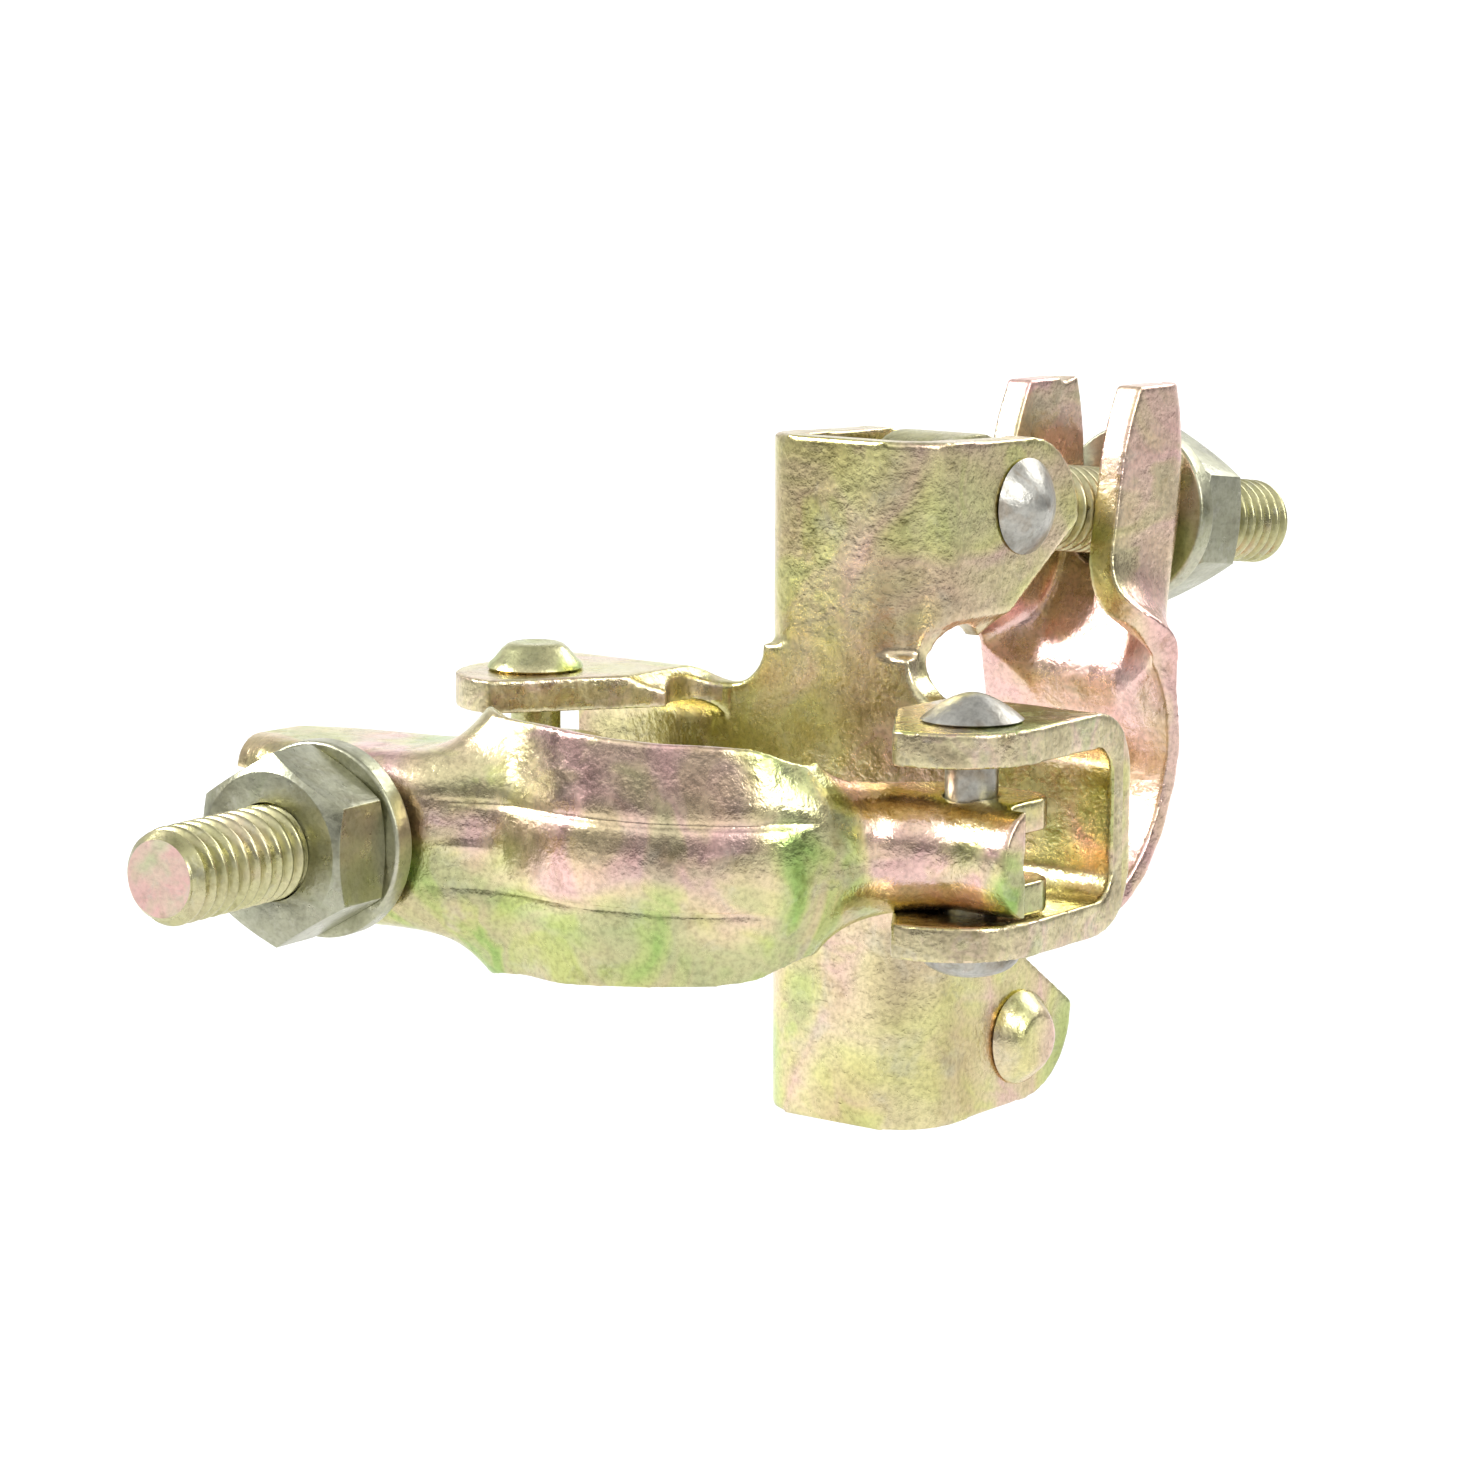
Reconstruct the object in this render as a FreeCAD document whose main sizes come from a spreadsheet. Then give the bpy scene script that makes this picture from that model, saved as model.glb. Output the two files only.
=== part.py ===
import FreeCAD, Part
import math
import os
import Sketcher

# Right-angle scaffold coupler for 48.3 mm tube, in millimetres.
# A cross-shaped steel pressing lies between the two tubes. Each side of it carries one clamp:
# a hinged cap on a rivet, and a swing bolt on a second rivet, with a washer and a nut.
# Origin: on the vertical tube's axis, level with the horizontal tube's axis.
# +Z up along the vertical tube, +X along the horizontal tube, +Y from the front clamp to the rear one.
# Each clamp is drawn in its own frame: x along the arm (hinge at +x, bolt at -x),
# y along the tube, z outward from the middle of the plate.

DIMENSIONS = (
    ("axis_depth", 28.75),
    ("plate", 4.4),
    ("half_plate", 2.2),
    ("lug_half", 14.0),
    ("lug_gap_half", 9.6),
    ("bend_outer", 8.2),
    ("bend_inner", 3.6),
    ("arm_end_front", 45.0),
    ("web_end_front", 43.5),
    ("arm_end_rear", 44.1),
    ("web_end_rear", 45.0),
    ("arm_length", 90.6),
    ("ear_top", 32.6),
    ("ear_corner", 32.4),
    ("ear_shoulder", 33.0),
    ("ear_tip_out", 18.3),
    ("ear_tip_in", 17.5),
    ("ear_tip_depth", 12.77),
    ("core_half", 17.5),
    ("relief_centre", 17.4),
    ("relief_radius", 5.6),
    ("notch_centre", 14.6),
    ("notch_depth", 8.5),
    ("notch_radius", 6.3),
    ("pin_reach", 35.3),
    ("pin_depth", 20.3),
    ("pin_hole", 3.3),
    ("pin_radius", 3.27),
    ("swing_hole", 3.35),
    ("head_radius", 6.3),
    ("dome_height", 3.5),
    ("tail_height", 3.6),
    ("button_flat", 3.3),
    ("cap_bore", 24.25),
    ("cap_outer", 28.4),
    ("band_width", 33.4),
    ("hinge_width", 14.2),
    ("hinge_gap", 6.8),
    ("hinge_top", 28.0),
    ("hinge_under", 23.9),
    ("hinge_end", 46.0),
    ("tab_end", 43.5),
    ("tab_back", 12.8),
    ("fork_width", 22.2),
    ("slot_width", 14.1),
    ("slot_half", 7.05),
    ("slot_centre", 30.05),
    ("fork_end", 48.8),
    ("seat_radius", 44.25),
    ("bolt_radius", 6.0),
    ("bolt_length", 78.7),
    ("eye_radius", 9.0),
    ("eye_width", 13.0),
    ("bolt_lean", 7.0),
    ("washer_seat", 44.6),
    ("washer_radius", 12.3),
    ("washer_bore", 6.5),
    ("washer_thick", 3.2),
    ("nut_bore", 6.06),
    ("nut_corner", 12.12),
    ("nut_height", 9.85),
    ("nut_seat", 47.82),
    ("front_nut_turn", 30.0),
    ("front_cap_drop", 2.2),
    ("front_bolt_drop", 1.6),
)

doc = FreeCAD.newDocument("scaffold_coupler")
sheet = doc.addObject("Spreadsheet::Sheet", "Dims")
dims = dict(DIMENSIONS)
for row, (name, size) in enumerate(DIMENSIONS, start=1):
    sheet.set("A%d" % row, name)
    sheet.set("B%d" % row, str(size))
    sheet.setAlias("B%d" % row, name)
doc.recompute()


def size_of(term):
    """Number for a term such as '- pin_reach + 2.5'."""
    total, sign = 0.0, 1.0
    for token in str(term).split():
        if token == "-":
            sign = -1.0
        elif token == "+":
            sign = 1.0
        else:
            total += sign * (dims[token] if token in dims else float(token))
            sign = 1.0
    return total


def negated(term):
    """The term with every sign turned over."""
    tokens = term.split() if term.startswith("-") else ("+ " + term).split()
    return " ".join({"-": "+", "+": "-"}.get(token, token) for token in tokens)


def formula(term):
    """The same term as a spreadsheet expression."""
    return " ".join("Dims." + token if token in dims else token for token in str(term).split())


def new_body(label):
    body = doc.addObject("PartDesign::Body", label)
    body.Label = label
    return body


def new_sketch(body, plane, name):
    sketch = body.newObject("Sketcher::SketchObject", name)
    support = [item for item in body.Origin.OriginFeatures if item.Role == plane + "_Plane"][0]
    sketch.AttachmentSupport = [(support, "")]
    sketch.MapMode = "FlatFace"
    return sketch


def constrain(sketch, wanted):
    """Add (kind, target, term) dimensions together, then tie each one to the sheet."""
    dimensions = [Sketcher.Constraint(kind, *target, size_of(term)) for kind, target, term in wanted]
    first = sketch.ConstraintCount
    sketch.addConstraint(dimensions)
    for number, (kind, target, term) in enumerate(wanted, start=first):
        sketch.setExpression("Constraints[%d]" % number, formula(term))


def arc_between(start, end, centre_x, bulge):
    """Short arc from start to end whose centre has the given x; bulge 1 is left of start to end."""
    middle = (start + end) * 0.5
    left = FreeCAD.Vector(start.y - end.y, end.x - start.x, 0).normalize()
    centre = middle + left * ((centre_x - middle.x) / left.x)
    angles = [math.atan2(point.y - centre.y, point.x - centre.x) for point in (start, end)]
    if bulge > 0:
        angles.reverse()
    if angles[1] < angles[0]:
        angles[1] += 2 * math.pi
    circle = Part.Circle(centre, FreeCAD.Vector(0, 0, 1), (start - centre).Length)
    return Part.ArcOfCircle(circle, *angles)


def add_outline(sketch, corners, arcs=None):
    """Closed outline through corners; arcs maps a side's number to (centre x, which side it bulges)."""
    arcs = arcs or {}
    points = [FreeCAD.Vector(size_of(x), size_of(y), 0) for x, y in corners]
    starts, ends, dimensions = [], [], []
    for number, start in enumerate(points):
        end = points[(number + 1) % len(points)]
        if number in arcs:
            centre_x, bulge = arcs[number]
            geo = sketch.addGeometry(arc_between(start, end, size_of(centre_x), bulge))
            forward = sketch.Geometry[geo].StartPoint.distanceToPoint(start) < 1e-6
            starts.append((geo, 1 if forward else 2))
            ends.append((geo, 2 if forward else 1))
            dimensions.append(("DistanceX", (geo, 3), centre_x))
        else:
            geo = sketch.addGeometry(Part.LineSegment(start, end))
            starts.append((geo, 1))
            ends.append((geo, 2))
    joins = [Sketcher.Constraint("Coincident", *ends[number], *starts[(number + 1) % len(points)])
             for number in range(len(points))]
    sketch.addConstraint(joins)
    for number, (x, y) in enumerate(corners):
        dimensions.append(("DistanceX", starts[number], x))
        dimensions.append(("DistanceY", starts[number], y))
    constrain(sketch, dimensions)


def add_circle(sketch, x, y, radius):
    centre = FreeCAD.Vector(size_of(x), size_of(y), 0)
    geo = sketch.addGeometry(Part.Circle(centre, FreeCAD.Vector(0, 0, 1), size_of(radius)))
    constrain(sketch, [("DistanceX", (geo, 3), x), ("DistanceY", (geo, 3), y), ("Radius", (geo,), radius)])


def pad(body, sketch, length, name, symmetric=True):
    feature = body.newObject("PartDesign::Pad", name)
    feature.Profile = sketch
    feature.SideType = "Symmetric" if symmetric else "One side"
    feature.setExpression("Length", formula(length))
    doc.recompute()
    return feature


def pocket(body, sketch, name, length=None):
    """Cut both ways from the sketch: right through, or by a stated total width."""
    before = body.Shape.Volume
    feature = body.newObject("PartDesign::Pocket", name)
    feature.Profile = sketch
    feature.SideType = "Symmetric"
    if length is None:
        feature.Length = 400
    else:
        feature.setExpression("Length", formula(length))
    doc.recompute()
    if not body.Shape.Volume < before - 0.5:
        raise RuntimeError("%s cut nothing" % name)
    return feature


def round_edges(body, base, name, radius, wanted):
    """Fillet the edges of base whose two ends both satisfy wanted(point)."""
    names = []
    for number, edge in enumerate(base.Shape.Edges, start=1):
        ends = [vertex.Point for vertex in edge.Vertexes]
        ends.append(edge.valueAt((edge.FirstParameter + edge.LastParameter) / 2))
        if all(wanted(point) for point in ends):
            names.append("Edge%d" % number)
    if not names:
        raise RuntimeError("%s found no edges" % name)
    feature = body.newObject("PartDesign::Fillet", name)
    feature.Base = (base, names)
    feature.setExpression("Radius", formula(radius))
    doc.recompute()
    return feature


def near(value, target):
    return abs(value - target) < 0.02


# ---- The two clamp frames ----
FRONT = FreeCAD.Placement(FreeCAD.Vector(0, dims["axis_depth"], 0),
                          FreeCAD.Rotation(FreeCAD.Vector(1, 0, 0), 90))
REAR = FreeCAD.Placement(FreeCAD.Vector(0, dims["axis_depth"], 0),
                         FreeCAD.Rotation(FreeCAD.Vector(0, 0, -1), FreeCAD.Vector(-1, 0, 0),
                                          FreeCAD.Vector(0, 1, 0), "XYZ"))


# ---- Coupler body: one pressing, front ears along x standing up, rear ears along y hanging down ----
def ear_cuts(body, plane, side, tag):
    """Shape the four ears of one arm, drawn in the plane that holds the arm and the depth."""
    def depth(term):
        return term if side > 0 else negated(term)
    sketch = new_sketch(body, plane, "EarThroat" + tag)
    half = [("ear_tip_in", "half_plate"), ("ear_tip_in", "ear_tip_depth"),
            ("ear_tip_out", "ear_tip_depth"), ("ear_corner", "ear_top"), ("ear_corner", "ear_top + 9")]
    corners = [(x, depth(z)) for x, z in half]
    corners += [(negated(x), depth(z)) for x, z in reversed(half)]
    add_outline(sketch, corners)
    pocket(body, sketch, "EarThroatCut" + tag)
    sketch = new_sketch(body, plane, "EarEnds" + tag)
    arm_end, web_end = "arm_end_" + tag.lower(), "web_end_" + tag.lower()
    for mirror in ("", "- "):
        away = " - 9" if mirror else " + 9"
        corners = [(mirror + "ear_shoulder", depth("ear_top")),
                   (mirror + arm_end, depth("pin_depth")),
                   (mirror + web_end, depth("- half_plate - 1")),
                   (mirror + web_end + away, depth("- half_plate - 1")),
                   (mirror + web_end + away, depth("ear_top + 9")),
                   (mirror + "ear_shoulder", depth("ear_top + 9"))]
        bulge = side * (1 if not mirror else -1)
        add_outline(sketch, corners, {0: (mirror + "ear_shoulder", bulge)})
    pocket(body, sketch, "EarEndsCut" + tag)
    sketch = new_sketch(body, plane, "EarHoles" + tag)
    for mirror in ("", "- "):
        add_circle(sketch, mirror + "notch_centre", depth("notch_depth"), "notch_radius")
        add_circle(sketch, mirror + "pin_reach", depth("pin_depth"), "pin_hole")
    pocket(body, sketch, "EarHolesCut" + tag)


def channel(body, plane, side, tag):
    """One arm: a channel of plate with its two long bends rounded."""
    def depth(term):
        return term if side > 0 else "- " + term
    sketch = new_sketch(body, plane, "ArmSection" + tag)
    base = "- half_plate" if side > 0 else "half_plate"
    corners = [("- lug_half", base), ("lug_half", base), ("lug_half", depth("ear_top")),
               ("lug_gap_half", depth("ear_top")), ("lug_gap_half", depth("half_plate")),
               ("- lug_gap_half", depth("half_plate")), ("- lug_gap_half", depth("ear_top")),
               ("- lug_half", depth("ear_top"))]
    add_outline(sketch, corners)
    return pad(body, sketch, "arm_length", "Arm" + tag)


def make_body():
    body = new_body("coupler_body")
    arm = channel(body, "YZ", 1, "Front")
    outer, inner = dims["lug_half"], dims["lug_gap_half"]
    half = dims["half_plate"]
    bend = round_edges(body, arm, "BendOuterFront", "bend_outer",
                       lambda point: near(abs(point.y), outer) and near(point.z, -half))
    round_edges(body, bend, "BendInnerFront", "bend_inner",
                lambda point: near(abs(point.y), inner) and near(point.z, half))
    ear_cuts(body, "XZ", 1, "Front")
    rear = new_body("rear_arm")
    arm = channel(rear, "XZ", -1, "Rear")
    bend = round_edges(rear, arm, "BendOuterRear", "bend_outer",
                       lambda point: near(abs(point.x), outer) and near(point.z, half))
    round_edges(rear, bend, "BendInnerRear", "bend_inner",
                lambda point: near(abs(point.x), inner) and near(point.z, -half))
    ear_cuts(rear, "YZ", -1, "Rear")
    joined = body.newObject("PartDesign::Boolean", "JoinArms")
    joined.Type = "Fuse"
    joined.setObjects([rear])
    doc.recompute()
    for plane_x, plane_y, tag in (("core_half", "lug_half", "Along"), ("lug_half", "core_half", "Across")):
        sketch = new_sketch(body, "XY", "Core" + tag)
        add_outline(sketch, [("- " + plane_x, "- " + plane_y), (plane_x, "- " + plane_y),
                             (plane_x, plane_y), ("- " + plane_x, plane_y)])
        pad(body, sketch, "plate", "CorePlate" + tag)
    sketch = new_sketch(body, "XY", "Relief")
    for mirror_x in ("", "- "):
        for mirror_y in ("", "- "):
            add_circle(sketch, mirror_x + "relief_centre", mirror_y + "relief_centre", "relief_radius")
    pocket(body, sketch, "ReliefCut")
    body.Placement = FRONT
    return body


# ---- Cap: band round the tube, hinge channel at +x, slotted fork at -x ----
def signed(number):
    """A computed number written as a term."""
    return ("- %.4f" if number < 0 else "%.4f") % abs(number)


def make_cap(label, place):
    body = new_body(label)
    sketch = new_sketch(body, "XZ", "Band")
    add_circle(sketch, "0", "axis_depth", "cap_outer")
    add_circle(sketch, "0", "axis_depth", "cap_bore")
    pad(body, sketch, "band_width", "BandPad")
    # The band covers the outer side of the tube and stays clear of the ears.
    sketch = new_sketch(body, "XZ", "Open")
    add_outline(sketch, [("0", "axis_depth"), ("26", "axis_depth + 6"), ("34", "axis_depth + 6"),
                         ("34", "- 8"), ("- 40", "- 8"), ("- 40", "axis_depth + 47.67")])
    pocket(body, sketch, "OpenCut")
    # Height of the band along the arm: widest by the fork, narrowing towards the hinge.
    sketch = new_sketch(body, "XY", "Elevation")
    heights = [("- 19", "16.0"), ("- 14", "16.6"), ("0", "15.3"), ("11.6", "14.45"),
               ("22.8", "12.6"), ("26.2", "10.6"), ("28.4", "8.4"), ("34", "8.0")]
    for mirror in ("", "- "):
        edge = [(x, mirror + y) for x, y in heights]
        add_outline(sketch, edge + [("34", mirror + "20"), ("- 19", mirror + "20")])
    pocket(body, sketch, "ElevationCut")
    # Hinge channel: a web outside and two flanges that hold the rivet.
    sketch = new_sketch(body, "XZ", "HingeOutline")
    add_outline(sketch, [("24.7", "axis_depth + 7"), ("27.5", "axis_depth + 7"),
                         ("28.35", "axis_depth + 1"), ("28.4", "hinge_top"),
                         ("hinge_end", "hinge_top"), ("hinge_end", "hinge_under + 1.9"),
                         ("hinge_end - 1.9", "hinge_under"), ("tab_end", "hinge_under"),
                         ("tab_end", "tab_back + 4"), ("tab_end - 3.2", "tab_back"),
                         ("tab_end - 12.5", "tab_back"), ("27.2", "tab_back + 5.5"), ("24.9", "25.6"),
                         ("24.4", "axis_depth")])
    hinge = pad(body, sketch, "hinge_width", "HingeBlock")
    top = dims["hinge_top"]
    half = dims["hinge_width"] / 2
    round_edges(body, hinge, "HingeBend", "3.4",
                lambda point: near(abs(point.y), half) and near(point.z, top) and point.x > 27)
    sketch = new_sketch(body, "XZ", "HingeHollow")
    add_outline(sketch, [("27.6", "hinge_under"), ("50", "hinge_under"), ("50", "8"), ("20", "8"),
                         ("20", "20"), ("25.5", "22")])
    pocket(body, sketch, "HingeHollowCut", "hinge_gap")
    # Fork: two prongs, their outer edges an arc about the bolt's rivet so that the bolt can swing.
    lean = math.radians(dims["bolt_lean"])
    seat = dims["seat_radius"]
    swing = math.radians(22.4) - lean
    seat_x = signed(seat * math.sin(lean) - dims["pin_reach"])
    seat_z = signed(seat * math.cos(lean) + dims["pin_depth"])
    lip_x = signed(-seat * math.sin(swing) - dims["pin_reach"])
    lip_z = signed(seat * math.cos(swing) + dims["pin_depth"])
    sketch = new_sketch(body, "XZ", "ForkOutline")
    add_outline(sketch, [("- 6", "axis_depth + 27.5"), ("- 20", "axis_depth + 33"), (seat_x, seat_z),
                         (lip_x, lip_z), ("- fork_end", "axis_depth + 31.9"),
                         ("- fork_end", "axis_depth + 22.6"), ("- 38.5", "axis_depth + 18.55"),
                         ("- 22.5", "axis_depth + 15.6"), ("- 18.4", "axis_depth + 16.3"),
                         ("- 13.5", "axis_depth + 20.9"), ("- 5", "axis_depth + 24.7")],
                {2: ("- pin_reach", -1)})
    fork = pad(body, sketch, "fork_width", "ForkBlock")
    half_fork = dims["fork_width"] / 2
    round_edges(body, fork, "ForkBend", "3.2",
                lambda point: near(abs(point.y), half_fork) and point.z > 56 and point.x < -8)
    sketch = new_sketch(body, "XZ", "ForkHollow")
    add_outline(sketch, [("- 7", "axis_depth + 23.3"), ("- 21", "axis_depth + 28.9"),
                         ("- 30", "axis_depth + 31"), ("- 30", "30"), ("- 7", "30")])
    pocket(body, sketch, "ForkHollowCut", "slot_width")
    sketch = new_sketch(body, "XY", "Slot")
    add_outline(sketch, [("- 60", "- slot_half"), ("- slot_centre", "- slot_half"),
                         ("- slot_centre + slot_half", "0"), ("- slot_centre", "slot_half"),
                         ("- 60", "slot_half")],
                {1: ("- slot_centre", -1), 2: ("- slot_centre", -1)})
    pocket(body, sketch, "SlotCut")
    sketch = new_sketch(body, "XZ", "RivetHole")
    add_circle(sketch, "pin_reach", "pin_depth", "swing_hole")
    pocket(body, sketch, "RivetHoleCut")
    body.Placement = place
    return body


# ---- Rivets: a shank through the lug, heads formed on both sides ----
def make_rivet(label, place, head):
    """head 'dome' is a round head, 'button' a flat-topped conical one; the tail end is a low dome."""
    body = new_body(label)
    sketch = new_sketch(body, "XZ", "Profile")
    if head == "dome":
        top = [("head_radius", "lug_half"), ("0", "lug_half + dome_height")]
    else:
        top = [("head_radius", "lug_half"), ("head_radius - 0.3", "lug_half + 1.1"),
               ("button_flat", "lug_half + dome_height"), ("0", "lug_half + dome_height")]
    corners = [("pin_radius", "- lug_half"), ("pin_radius", "lug_half")] + top
    last = len(corners) - 1
    corners += [("0", "- lug_half - tail_height"), ("head_radius", "- lug_half")]
    arcs = {last + 1: ("0", -1)}
    if head == "dome":
        arcs[last - 1] = ("0", -1)
    add_outline(sketch, corners, arcs)
    turned = body.newObject("PartDesign::Revolution", "Turned")
    turned.Profile = sketch
    turned.ReferenceAxis = (sketch, ["V_Axis"])
    turned.Angle = 360
    doc.recompute()
    body.Placement = place
    return body


# ---- Swing bolt: a shank with an eye round its rivet; its own z axis is the shank ----
def make_bolt(label, place):
    body = new_body(label)
    sketch = new_sketch(body, "XZ", "Eye")
    add_circle(sketch, "0", "0", "eye_radius")
    pad(body, sketch, "eye_width", "EyePad")
    sketch = new_sketch(body, "XY", "Shank")
    add_circle(sketch, "0", "0", "bolt_radius")
    shank = pad(body, sketch, "bolt_length", "ShankPad", symmetric=False)
    end = body.newObject("PartDesign::Chamfer", "ShankEnd")
    length = dims["bolt_length"]
    rims = ["Edge%d" % number for number, edge in enumerate(shank.Shape.Edges, start=1)
            if near(edge.BoundBox.ZMin, length) and near(edge.BoundBox.ZMax, length)]
    end.Base = (shank, rims)
    end.Size = 1.1
    doc.recompute()
    sketch = new_sketch(body, "XZ", "EyeHole")
    add_circle(sketch, "0", "0", "swing_hole")
    pocket(body, sketch, "EyeHoleCut")
    body.Placement = place
    return body


def make_washer(label, place):
    body = new_body(label)
    sketch = new_sketch(body, "XY", "Ring")
    add_circle(sketch, "0", "0", "washer_radius")
    add_circle(sketch, "0", "0", "washer_bore")
    ring = pad(body, sketch, "washer_thick", "RingPad", symmetric=False)
    rims = ["Edge%d" % number for number, edge in enumerate(ring.Shape.Edges, start=1)
            if edge.BoundBox.ZLength < 0.01 and edge.BoundBox.XLength > 20]
    edge = body.newObject("PartDesign::Fillet", "Rim")
    edge.Base = (ring, rims)
    edge.Radius = 0.5
    doc.recompute()
    body.Placement = place
    return body


def make_nut(label, place):
    body = new_body(label)
    sketch = new_sketch(body, "XY", "Hexagon")
    corner = dims["nut_corner"]
    turns = [math.radians(60 * side) for side in range(6)]
    ring = [FreeCAD.Vector(corner * math.cos(turn), corner * math.sin(turn), 0) for turn in turns]
    for number, start in enumerate(ring):
        sketch.addGeometry(Part.LineSegment(start, ring[(number + 1) % 6]))
    circle = sketch.addGeometry(Part.Circle(FreeCAD.Vector(0, 0, 0), FreeCAD.Vector(0, 0, 1), corner))
    sketch.toggleConstruction(circle)
    ties = [Sketcher.Constraint("Coincident", number, 2, (number + 1) % 6, 1) for number in range(6)]
    ties += [Sketcher.Constraint("PointOnObject", number, 1, circle) for number in range(6)]
    ties += [Sketcher.Constraint("Equal", 0, number) for number in range(1, 6)]
    ties += [Sketcher.Constraint("Coincident", circle, 3, -1, 1)]
    ties += [Sketcher.Constraint("PointOnObject", 0, 1, -1)]
    sketch.addConstraint(ties)
    constrain(sketch, [("Radius", (circle,), "nut_corner")])
    pad(body, sketch, "nut_height", "HexPad", symmetric=False)
    sketch = new_sketch(body, "XY", "Bore")
    add_circle(sketch, "0", "0", "nut_bore")
    pocket(body, sketch, "BoreCut")
    sketch = new_sketch(body, "XZ", "CornerChamfer")
    add_outline(sketch, [("nut_corner - 2.3", "nut_height"), ("nut_corner + 1", "nut_height"),
                         ("nut_corner + 1", "nut_height - 1.9")])
    add_outline(sketch, [("nut_corner - 1.9", "0"), ("nut_corner + 1", "0"), ("nut_corner + 1", "1.6")])
    before = body.Shape.Volume
    groove = body.newObject("PartDesign::Groove", "ChamferCut")
    groove.Profile = sketch
    groove.ReferenceAxis = (sketch, ["V_Axis"])
    groove.Angle = 360
    doc.recompute()
    if not body.Shape.Volume < before - 0.5:
        raise RuntimeError("the nut's chamfer cut nothing")
    body.Placement = place
    return body


# ---- Placing the pieces ----
def shifted(x, y, z, rotation=None):
    return FreeCAD.Placement(FreeCAD.Vector(x, y, z), rotation or FreeCAD.Rotation())


def make_clamp(prefix, frame, cap_drop, bolt_drop, nut_turn, hinge_head, bolt_head, turned_over):
    """One clamp: the drops are how far its cap and its bolt rest below the middle of the lugs."""
    across = FreeCAD.Rotation(FreeCAD.Vector(1, 0, 0), 90 if turned_over else -90)
    lean = FreeCAD.Rotation(FreeCAD.Vector(0, 1, 0), dims["bolt_lean"])
    reach, depth = dims["pin_reach"], dims["pin_depth"]
    pivot = frame * shifted(-reach, -bolt_drop, depth, lean)
    spun = FreeCAD.Rotation(FreeCAD.Vector(0, 0, 1), nut_turn)
    return [
        make_cap(prefix + "_cap", frame * shifted(0, -cap_drop, 0)),
        make_rivet(prefix + "_cap_rivet", frame * shifted(reach, 0, depth, across), hinge_head),
        make_rivet(prefix + "_bolt_rivet", frame * shifted(-reach, 0, depth, across), bolt_head),
        make_bolt(prefix + "_bolt", pivot),
        make_washer(prefix + "_washer", pivot * shifted(0, 0, dims["washer_seat"])),
        make_nut(prefix + "_nut", pivot * shifted(0, 0, dims["nut_seat"], spun)),
    ]


pieces = [make_body()]
pieces += make_clamp("front", FRONT, dims["front_cap_drop"], dims["front_bolt_drop"],
                     dims["front_nut_turn"], "dome", "button", False)
pieces += make_clamp("rear", REAR, 0, 0, 0, "button", "dome", True)
doc.recompute()

for item in doc.Objects:
    if "Invalid" in item.State or "Error" in item.State:
        raise RuntimeError("%s did not build: %s" % (item.Label, item.State))
os.makedirs("parts", exist_ok=True)
for piece in pieces:
    shape = piece.Shape
    if shape.isNull() or not shape.isValid() or len(shape.Solids) != 1:
        raise RuntimeError("%s is not one valid solid" % piece.Label)
for piece in pieces:
    piece.Shape.exportStep("parts/%s.step" % piece.Label)
    print(piece.Label, round(piece.Shape.Volume), "mm3")
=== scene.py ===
import math
import bmesh
import bpy
import numpy as np
from mathutils import Matrix, Vector


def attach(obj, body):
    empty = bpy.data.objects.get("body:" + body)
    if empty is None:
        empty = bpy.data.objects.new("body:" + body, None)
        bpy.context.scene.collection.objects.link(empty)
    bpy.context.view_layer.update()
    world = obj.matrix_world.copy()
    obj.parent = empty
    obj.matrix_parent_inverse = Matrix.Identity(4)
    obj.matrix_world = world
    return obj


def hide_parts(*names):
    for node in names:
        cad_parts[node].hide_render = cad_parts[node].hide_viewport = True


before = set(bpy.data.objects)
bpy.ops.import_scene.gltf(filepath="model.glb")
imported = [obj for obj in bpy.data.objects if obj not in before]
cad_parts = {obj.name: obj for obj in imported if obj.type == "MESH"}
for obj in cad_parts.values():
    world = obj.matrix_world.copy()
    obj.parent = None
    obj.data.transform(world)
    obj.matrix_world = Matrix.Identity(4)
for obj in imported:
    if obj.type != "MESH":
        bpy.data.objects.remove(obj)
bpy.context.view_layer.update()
MM = 0.001
GROUPS = ("front", "rear")

# ---- Clamp frames: x along the arm (hinge at +x), y along the tube, z outward from the plate ----
AXIS_DEPTH = 28.75
PIN_REACH, PIN_DEPTH = 35.3, 20.3
BOLT_LEAN = math.radians(7.0)
FRONT_CAP_DROP, FRONT_BOLT_DROP = 2.2, 1.6


def clamp_matrix(group):
    """Clamp frame in millimetres to the row frame in metres."""
    if group == "front":
        axes = ((1, 0, 0), (0, 0, 1), (0, -1, 0))
    else:
        axes = ((0, 0, -1), (-1, 0, 0), (0, 1, 0))
    turn = Matrix(axes).transposed().to_4x4()
    return Matrix.Scale(MM, 4) @ Matrix.Translation((0, AXIS_DEPTH, 0)) @ turn


def bolt_matrix(group):
    """The swing bolt's own frame (z along the shank) in millimetres to the row frame."""
    drop = -FRONT_BOLT_DROP if group == "front" else 0.0
    lean = Matrix.Rotation(BOLT_LEAN, 4, "Y")
    return clamp_matrix(group) @ Matrix.Translation((-PIN_REACH, drop, PIN_DEPTH)) @ lean


# ---- Mesh helpers ----
def new_object(name, mesh):
    obj = bpy.data.objects.new(name, mesh)
    bpy.context.scene.collection.objects.link(obj)
    return obj


def baked(obj):
    """Apply the object's modifiers and drop them."""
    graph = bpy.context.evaluated_depsgraph_get()
    mesh = bpy.data.meshes.new_from_object(obj.evaluated_get(graph))
    obj.modifiers.clear()
    old = obj.data
    obj.data = mesh
    bpy.data.meshes.remove(old)


def smooth_shading(obj, angle=35):
    obj.data.polygons.foreach_set("use_smooth", [True] * len(obj.data.polygons))
    obj.data.set_sharp_from_angle(angle=math.radians(angle))


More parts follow.
